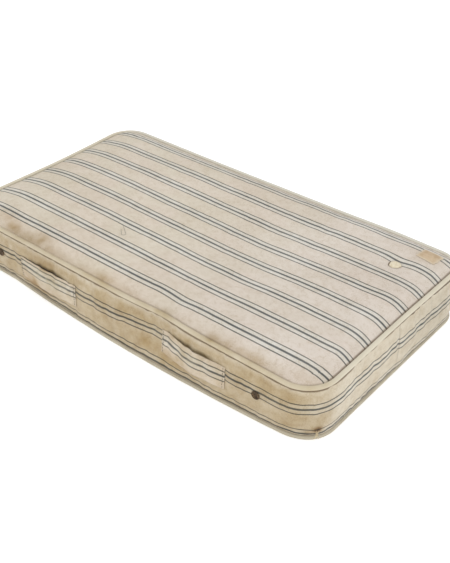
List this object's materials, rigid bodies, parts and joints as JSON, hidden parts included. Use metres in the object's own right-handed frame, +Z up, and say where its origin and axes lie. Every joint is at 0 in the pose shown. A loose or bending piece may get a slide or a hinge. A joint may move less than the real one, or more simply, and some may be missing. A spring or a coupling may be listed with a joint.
{
  "type": "old mattress",
  "caption": "Worn cot mattress lying flat: filled striped ticking case with crowned top, corded welts, slack carrying straps, round vents, tuft pad and a plain patch.",
  "frame": {"origin": "middle of the part's bounding box, straps included, at floor level", "axes": "+X along the length, towards the end with the tuft pad; +Z up; the border with the straps faces -Y"},
  "size_m": [1.3742, 0.789, 0.1945],
  "materials": {
    "ticking": "soiled cotton twill with blue-grey stripes",
    "strap_ticking": "soiled cotton twill with blue-grey stripes",
    "welt_cloth": "soiled plain cotton twill",
    "dull_brass": "tarnished dark brown",
    "cotton_felt": "yellowed cotton felt",
    "patch_cloth": "brown faded cloth"
  },
  "bodies": {
    "root": {"ticking_case": "ticking", "top_welt": "welt_cloth", "bottom_welt": "welt_cloth", "handle_strap_left": "strap_ticking", "handle_strap_right": "strap_ticking", "vent_left": "dull_brass", "vent_right": "dull_brass", "tuft_pad": "cotton_felt", "sewn_patch": "patch_cloth"}
  },
  "joints": []
}
